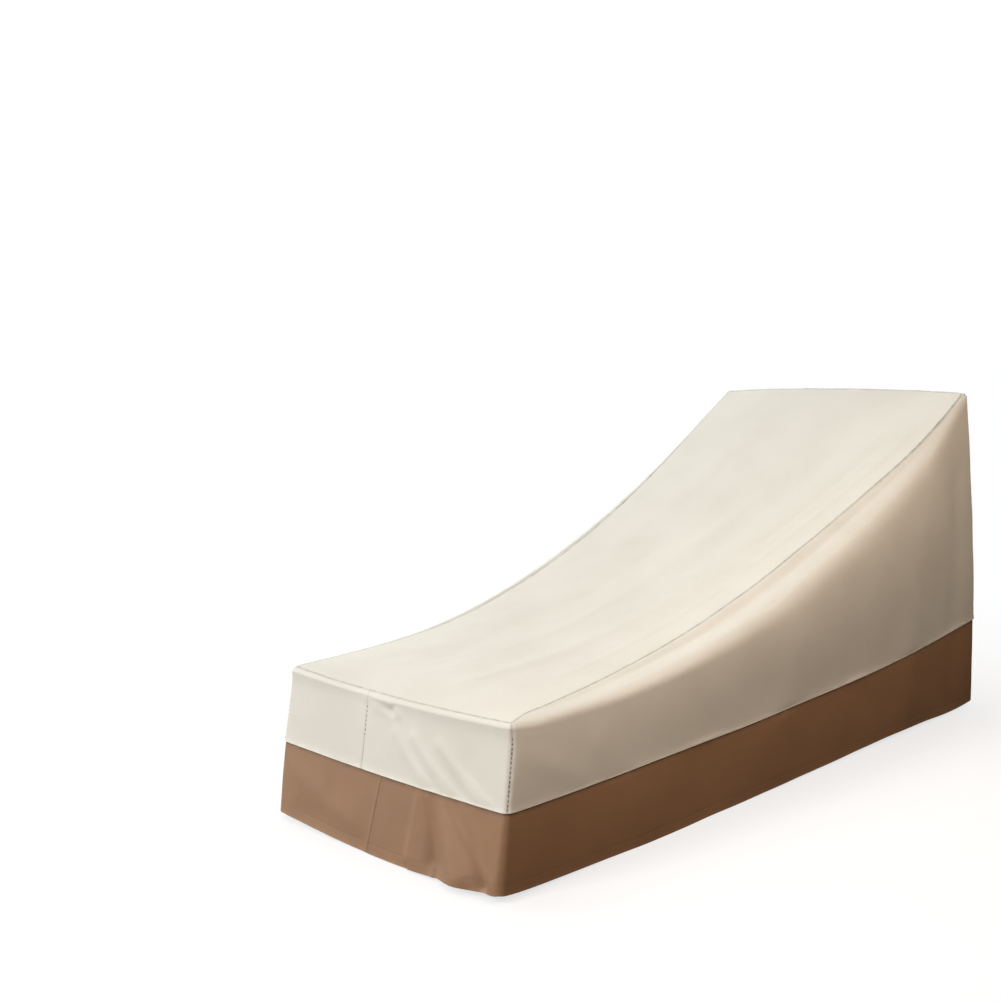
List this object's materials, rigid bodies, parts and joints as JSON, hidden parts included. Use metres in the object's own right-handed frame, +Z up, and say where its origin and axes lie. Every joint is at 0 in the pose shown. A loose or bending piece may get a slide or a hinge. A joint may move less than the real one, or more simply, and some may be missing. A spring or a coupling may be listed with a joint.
{
  "type": "lounge chair cover",
  "caption": "Fitted cloth cover for a lounge chair, hollow underneath, with a flat foot end, a raised back and a darker band round the hem.",
  "frame": {"origin": "point under the top, over the seat and midway across, where the chair carries the cover", "axes": "+Y from the foot end to the head end, +Z up, +X to the right seen from the foot end"},
  "size_m": [0.8566, 1.816, 0.8937],
  "materials": {
    "beige_cloth": "matt coated weave",
    "brown_cloth": "matt coated weave"
  },
  "bodies": {
    "root": {"top_panel": "beige_cloth", "side_panel_right": "beige_cloth", "side_panel_left": "beige_cloth", "foot_panel_left": "beige_cloth", "foot_panel_right": "beige_cloth", "head_panel": "beige_cloth", "skirt_band": "brown_cloth"}
  },
  "joints": []
}
